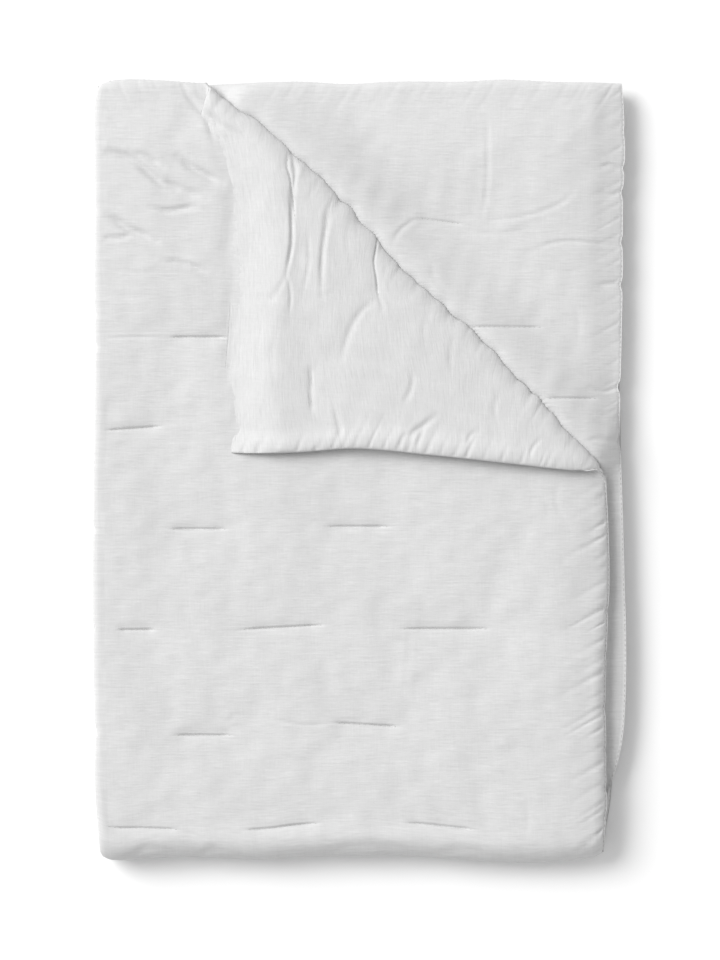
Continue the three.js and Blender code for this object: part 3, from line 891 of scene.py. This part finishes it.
def faceLines(plan):
    # the spacing wanted over the whole face, at the rows of tacks and towards the edges
    columns = plan["columns"] + [(cloth["halfWidth"] - inside, pitch) for inside, pitch in edgeMarks]
    rows = list(plan["rows"])
    near, finePitch = meshFit["rowFine"], meshFit["finePitch"]
    for row in plan["fineRows"]:
        rows.append((row - meshFit["rowReach"], plan["rowPitch"]))
        rows += [(row - near, finePitch), (row + near, finePitch)]
        rows.append((row + meshFit["rowReach"], plan["rowPitch"]))
    rows += [(halfLength - inside, pitch) for inside, pitch in edgeMarks]
    return spacedLines(columns), spacedLines(rows)


def drawRowsToTacks(across, along, rows):
    # near each tack, the mesh lines of its row shift so that one of them follows the stitches
    shift = np.zeros(across.shape)
    x = flatX(across, along)
    for half, tackX, tackY, length, tilt in tacks:
        place = alongAt(tackY)
        row = min(rows, key=lambda one: abs(one - place))
        if abs(row - place) > meshFit["rowReach"]:
            continue
        pastEnd = np.maximum(np.abs(x - tackX) - length / 2, 0)
        sideways = bell(pastEnd, meshFit["tackFade"]) * (across * half > 0)
        lengthways = 1 - between(np.abs(along - row), meshFit["rowEase"])
        slant = tilt * np.clip((x - tackX) / length, -meshFit["tiltReach"], meshFit["tiltReach"])
        shift += (place - row + slant) * sideways * lengthways
    return shift


def flatGrid(plan):
    # every crossing of the mesh lines, stretched near the edges so that the last line is the edge
    columns, rows = faceLines(plan)
    across, along = np.meshgrid(columns, rows)
    side, end = signOf(across), signOf(along)
    atSide = between(np.abs(across), meshFit["sideEase"])
    across = across + side * (edgeAcross(side, along) - cloth["halfWidth"]) * atSide
    along = along + drawRowsToTacks(across, along, plan["fineRows"])
    atEnd = between(np.abs(along), meshFit["endEase"])
    along = along + end * (edgeAlong(side, end, flatX(across, along)) - halfLength) * atEnd
    return across, along


def zipRows(first, second, firstPlaces, secondPlaces):
    # triangles between two rows of points, each made where the next point of either row comes
    order = np.argsort(np.concatenate([firstPlaces[1:], secondPlaces[1:]]), kind="stable")
    isFirst = order < len(firstPlaces) - 1
    i = np.cumsum(isFirst) - isFirst
    j = np.cumsum(~isFirst) - ~isFirst
    nextFirst = first[np.minimum(i + 1, len(first) - 1)]
    nextSecond = second[np.minimum(j + 1, len(second) - 1)]
    return np.stack([first[i], second[j], np.where(isFirst, nextFirst, nextSecond)], -1)


def throwMesh():
    # two grids of quads, front and back, zipped together round the sewn edge
    points, flats, quads, borders = [], [], [], []
    start = 0
    for face, name in ((1, "front"), (-1, "back")):
        across, along = flatGrid(meshPlan[name])
        proud = reliefOf(across, along, face)
        print(f"  {name} face: {across.shape[0]} rows of {across.shape[1]} points")
        points.append(foldedPoints(across, along, face, proud).reshape(-1, 3))
        flats.append(np.stack([across, along], -1).reshape(-1, 2))
        ids = start + np.arange(across.size).reshape(across.shape)
        corners = [ids[:-1, :-1], ids[:-1, 1:], ids[1:, 1:], ids[1:, :-1]]
        quads.append(np.stack(corners[::face], -1).reshape(-1, 4))
        borders.append([
            (ids[0, :], across[0, :]),
            (ids[:, -1], along[:, -1]),
            (ids[-1, ::-1], -across[-1, ::-1]),
            (ids[::-1, 0], -along[::-1, 0]),
        ])
        start += across.size
    rims = [zipRows(front[0], back[0], front[1], back[1])[:, ::-1] for front, back in zip(*borders)]
    return np.concatenate(points), np.concatenate(flats), np.concatenate(quads), np.concatenate(rims)


def meshObject(name, points, faces, flats=None):
    # faces is a list of index arrays; each array has faces of one size
    mesh = bpy.data.meshes.new(name)
    sizes = np.concatenate([np.full(len(group), group.shape[1]) for group in faces])
    loops = np.concatenate([group.reshape(-1) for group in faces])
    mesh.vertices.add(len(points))
    mesh.vertices.foreach_set("co", (points * mm).astype(np.float32).reshape(-1))
    mesh.loops.add(len(loops))
    mesh.loops.foreach_set("vertex_index", loops.astype(np.int32))
    mesh.polygons.add(len(sizes))
    mesh.polygons.foreach_set("loop_start", (np.cumsum(sizes) - sizes).astype(np.int32))
    mesh.update(calc_edges=True)
    if flats is not None:
        layer = mesh.uv_layers.new(name="flatThrow")
        layer.uv.foreach_set("vector", (flats[loops] * mm).astype(np.float32).reshape(-1))
    mesh.validate()
    mesh.shade_smooth()
    made = bpy.data.objects.new(name, mesh)
    bpy.context.scene.collection.objects.link(made)
    return made


puffHeights = None
print("letting the quilted panel settle")
puffHeights = puffedPanel()
print("shaping the throw")
points, flats, quads, rims = throwMesh()
cadCentre = np.array((cadLow + cadHigh) / 2) / mm
toFrame = cadCentre - (points.min(0) + points.max(0)) / 2
toFrame[2] = -points[:, 2].min()
throw = meshObject("linenThrow", points + toFrame, [quads, rims], flats)
print(f"  {len(throw.data.polygons)} faces")


# Thread, in mm: the rows of stitches in the tacks and the seam round the edge
thread = {
    "radius": 0.36,
    "stitch": 4.4,
    "step": 6.4,
    "height": 0.1,  # of the middle of a stitch over the cloth
    "dip": 0.8,  # of its ends into the cloth
    "fromEdge": 1.5,
    "endMargin": 12,  # the edge seam stops this far from the ends,
    "sideMargin": 22,  # and this far from the sides
    "pathPoints": 5,
    "roundPoints": 6,
}


def tackStitches():
    # for each stitch the flat place of its middle, and the way it runs across and along
    places = []
    for half, tackX, tackY, length, tilt in tacks:
        count = int(length / thread["step"])
        fromMiddle = (np.arange(count) - (count - 1) / 2) * thread["step"]
        along = alongAt(tackY + tilt * fromMiddle / length)
        across = half * acrossAt(tackX + fromMiddle, along)
        run = np.full(count, half * length)
        places.append(np.stack([across, along, run, np.full(count, tilt)], -1))
    return np.concatenate(places)


def edgeStitches():
    # the same, at one distance inside the sewn edge on all four sides
    places = []
    farAlong = halfLength - thread["endMargin"]
    farAcross = cloth["halfWidth"] - thread["sideMargin"]
    for way in (-1, 1):
        along = np.arange(-farAlong, farAlong, thread["step"])
        across = way * (edgeAcross(way, along) - thread["fromEdge"])
        places.append(np.stack([across, along, 0 * along, 1 + 0 * along], -1))
        across = np.arange(-farAcross, farAcross, thread["step"])
        endPlace = edgeAlong(signOf(across), way, flatX(across, way * halfLength))
        along = way * (endPlace - thread["fromEdge"])
        shown = pastRoll(across, along) < 0  # the seam at the turned corner's end is rolled under
        places.append(np.stack([across, along, 1 + 0 * across, 0 * across], -1)[shown])
    return np.concatenate(places)


def unit(vectors):
    # each vector divided by its own length
    return vectors / np.maximum(np.linalg.norm(vectors, axis=-1, keepdims=True), 1e-6)


def threadPoints(stitches, face):
    # a tube along each stitch: its path is an arc out of the cloth, its rings are square to it
    reach = np.linspace(-1, 1, thread["pathPoints"])
    run = stitches[:, 2:] / np.hypot(stitches[:, 2], stitches[:, 3])[:, None]
    paths = stitches[:, None, :2] + run[:, None] * (reach * thread["stitch"] / 2)[:, None]
    across, along = paths[..., 0], paths[..., 1]
    lift = thread["height"] - (thread["height"] + thread["dip"]) * reach ** 2
    proud = reliefOf(across, along, face) + lift
    centres = foldedPoints(across, along, face, proud)
    outwards = unit(foldedPoints(across, along, face, proud + 0.5) - centres)
    sideways = unit(np.cross(np.gradient(centres, axis=1), outwards))
    turn = np.arange(thread["roundPoints"]) * 2 * math.pi / thread["roundPoints"]
    ring = np.cos(turn)[:, None] * outwards[:, :, None] + np.sin(turn)[:, None] * sideways[:, :, None]
    return centres[:, :, None] + thread["radius"] * ring


def threadMesh():
    # every tube has the same faces: quads round it and a cap at each end
    stitches = np.concatenate([tackStitches(), edgeStitches()])
    tubes = np.concatenate([threadPoints(stitches, face) for face in (1, -1)])
    ids = np.arange(tubes[..., 0].size).reshape(tubes.shape[:3])
    onwards = np.roll(ids, -1, axis=2)
    quads = np.stack([ids[:, :-1], onwards[:, :-1], onwards[:, 1:], ids[:, 1:]], -1).reshape(-1, 4)
    caps = np.concatenate([ids[:, 0, ::-1], ids[:, -1]])
    print(f"  {len(tubes)} stitches")
    return meshObject("seamThreads", tubes.reshape(-1, 3) + toFrame, [quads, caps])


print("sewing the tacks and the edge")
threads = threadMesh()


# Materials
class Wire:
    # one output socket; arithmetic on it adds Math nodes
    def __init__(self, sheet, socket):
        self.sheet = sheet
        self.socket = socket

    def maths(self, operation, *values):
        return self.sheet.add("ShaderNodeMath", {"operation": operation}, dict(enumerate(values)))

    def __add__(self, other):
        return self.maths("ADD", self, other)

    def __sub__(self, other):
        return self.maths("SUBTRACT", self, other)

    def __rsub__(self, other):
        return self.maths("SUBTRACT", other, self)

    def __mul__(self, other):
        return self.maths("MULTIPLY", self, other)

    def clamped(self):
        return self.sheet.add("ShaderNodeClamp", {}, {"Value": self})

    __radd__ = __add__
    __rmul__ = __mul__


class Sheet:
    # a material's node tree; add takes a node's type, its settings, then its sockets
    def __init__(self, name):
        self.material = bpy.data.materials.new(name)
        self.material.use_nodes = True
        self.tree = self.material.node_tree
        self.tree.nodes.clear()

    def add(self, kind, settings=None, sockets=None, output=0):
        node = self.tree.nodes.new(kind)
        for name, value in (settings or {}).items():
            setattr(node, name, value)
        for name, value in (sockets or {}).items():
            if isinstance(value, Wire):
                self.tree.links.new(value.socket, node.inputs[name])
            else:
                node.inputs[name].default_value = value
        return Wire(self, node.outputs[output]) if node.outputs else None

    def noise(self, vector, scale, detail):
        return self.add("ShaderNodeTexNoise", {}, {"Vector": vector, "Scale": scale, "Detail": detail})

    def stretched(self, vector, stretch):
        return self.add("ShaderNodeMapping", {}, {"Vector": vector, "Scale": stretch})

    def mixColours(self, factor, first, second):
        settings = {"data_type": "RGBA"}
        return self.add("ShaderNodeMix", settings, {0: factor, 6: first, 7: second}, output=2)

    def finish(self, colour, look, height=None):
        # a matt surface in the colour, with bump where a height is given
        sockets = {
            "Base Color": colour,
            "Roughness": look["roughness"],
            "Sheen Weight": look["sheen"],
            "Specular IOR Level": look["specular"],
        }
        if height:
            bump = {"Strength": look["bump"], "Distance": look["bumpDepth"], "Height": height}
            sockets["Normal"] = self.add("ShaderNodeBump", {}, bump)
        shader = self.add("ShaderNodeBsdfPrincipled", {}, sockets)
        self.add("ShaderNodeOutputMaterial", {}, {"Surface": shader})
        return self.material


linenLook = {
    "pale": (0.70, 0.70, 0.70, 1),
    "deep": (0.53, 0.53, 0.53, 1),
    "cloud": 9,  # soft patches to the metre
    "cloudTone": 0.3,
    "dashSharpness": 8,
    "yarnHeight": 0.6,
    "warpHeight": 0.5,
    "slubHeight": 0.35,
    "slubEdge": 0.04,  # where a slub's height begins
    "roughness": 0.9,
    "sheen": 0.04,
    "specular": 0.2,
    "bump": 0.28,
    "bumpDepth": 0.0006,
}

# Slubs, which are short dashes: how many to the metre along and across the yarn, how far from the
# middle of the noise they begin, and their share in the tone
slubs = {
    "slub": ((48, 470, 1), 0.05, 0.17),
    "longSlub": ((14, 330, 1), 0.06, 0.1),
    "warpSlub": ((420, 30, 1), 0.07, 0.07),
}
# Yarns: how many to the metre, and their share in the tone
yarns = {
    "yarn": ((150, 1300, 1), 0.4),
    "warp": ((1000, 45, 1), 0.26),
}


def dashes(noise, edge):
    # pale dashes where the noise is high and deep ones where it is low, about 0
    high = (noise - (0.5 + edge)) * linenLook["dashSharpness"]
    low = ((0.5 - edge) - noise) * linenLook["dashSharpness"]
    return high.clamped() - low.clamped()


def linenMaterial():
    # the tones of slubs, yarns and patches are added up between the deep and the pale grey
    sheet = Sheet("palegreyLinen")
    place = sheet.add("ShaderNodeUVMap", {"uv_map": "flatThrow"})
    cloud = sheet.noise(place, linenLook["cloud"], detail=3)
    tone = (cloud - 0.5) * linenLook["cloudTone"] + 0.5
    made = {}
    for name, (stretch, edge, share) in slubs.items():
        made[name] = sheet.noise(sheet.stretched(place, stretch), scale=1, detail=2)
        tone = tone + dashes(made[name], edge) * share
    for name, (stretch, share) in yarns.items():
        made[name] = sheet.noise(sheet.stretched(place, stretch), scale=1, detail=1)
        tone = tone + (made[name] - 0.5) * share
    colour = sheet.mixColours(tone.clamped(), linenLook["deep"], linenLook["pale"])
    height = made["yarn"] * linenLook["yarnHeight"] + made["warp"] * linenLook["warpHeight"]
    height = height + dashes(made["slub"], linenLook["slubEdge"]) * linenLook["slubHeight"]
    return sheet.finish(colour, linenLook, height)


threadLook = {
    "pale": (0.50, 0.50, 0.49, 1),
    "deep": (0.34, 0.34, 0.33, 1),
    "twist": 900,  # turns of the ply to the metre
    "roughness": 0.75,
    "sheen": 0,
    "specular": 0.3,
    "bump": 0.4,
    "bumpDepth": 0.0002,
}


def threadMaterial():
    # a fine noise stands for the twist of the ply
    sheet = Sheet("greyThread")
    place = sheet.add("ShaderNodeTexCoord", output="Object")
    ply = sheet.noise(place, threadLook["twist"], detail=1)
    colour = sheet.mixColours(ply, threadLook["deep"], threadLook["pale"])
    return sheet.finish(colour, threadLook, ply)


print("weaving the linen")
throw.data.materials.append(linenMaterial())
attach(throw, "root")
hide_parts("throw")
threads.data.materials.append(threadMaterial())
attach(threads, "root")


# Studio: a pale floor, soft light from the upper left, and a long lens straight above
studio = {
    "floorSize": 30.0,
    "keyPower": 4400,
    "keySize": 12.9,
    "keyPlace": (-13.2, 8.5, 13.5),
    "fillPower": 20,
    "fillSize": 5.0,
    "fillPlace": (0.0, 0.0, 6.0),
    "ambient": 0.55,
    "cameraHeight": 6.0,
    "cameraAim": (0.0, -0.0114),
    "viewHeight": 1.2096,  # metres of the stack's top that fill the picture's height
    "stackTop": 0.06,
}
floorLook = {
    "white": (0.93, 0.93, 0.93, 1),
    "roughness": 0.8,
    "sheen": 0,
    "specular": 0.1,
}


def makeStudio():
    # the lens is as long as its sensor's width times the distance over the height of the view
    half = studio["floorSize"] / 2
    corners = np.array([(-half, -half, 0), (half, -half, 0), (half, half, 0), (-half, half, 0)]) / mm
    floor = meshObject("studioFloor", corners, [np.array([[0, 1, 2, 3]])])
    floor.data.materials.append(Sheet("paperWhite").finish(floorLook["white"], floorLook))

    for name in ("key", "fill"):
        lamp = bpy.data.lights.new(name + "Light", "AREA")
        lamp.energy, lamp.size = studio[name + "Power"], studio[name + "Size"]
        softbox = bpy.data.objects.new(name + "Light", lamp)
        softbox.location = studio[name + "Place"]
        softbox.rotation_euler = (-softbox.location).to_track_quat("-Z", "Y").to_euler()
        softbox.visible_camera = False
        bpy.context.scene.collection.objects.link(softbox)

    world = bpy.data.worlds.new("studioWorld")
    world.use_nodes = True
    world.node_tree.nodes["Background"].inputs["Color"].default_value = (1, 1, 1, 1)
    world.node_tree.nodes["Background"].inputs["Strength"].default_value = studio["ambient"]
    bpy.context.scene.world = world

    camera = bpy.data.cameras.new("camera")
    distance = studio["cameraHeight"] - studio["stackTop"]
    camera.lens = camera.sensor_width * distance / studio["viewHeight"]
    cameraObject = bpy.data.objects.new("camera", camera)
    cameraObject.location = (*studio["cameraAim"], studio["cameraHeight"])
    bpy.context.scene.collection.objects.link(cameraObject)
    bpy.context.scene.camera = cameraObject
    bpy.context.scene.view_settings.view_transform = "Standard"


print("setting up the studio")
makeStudio()
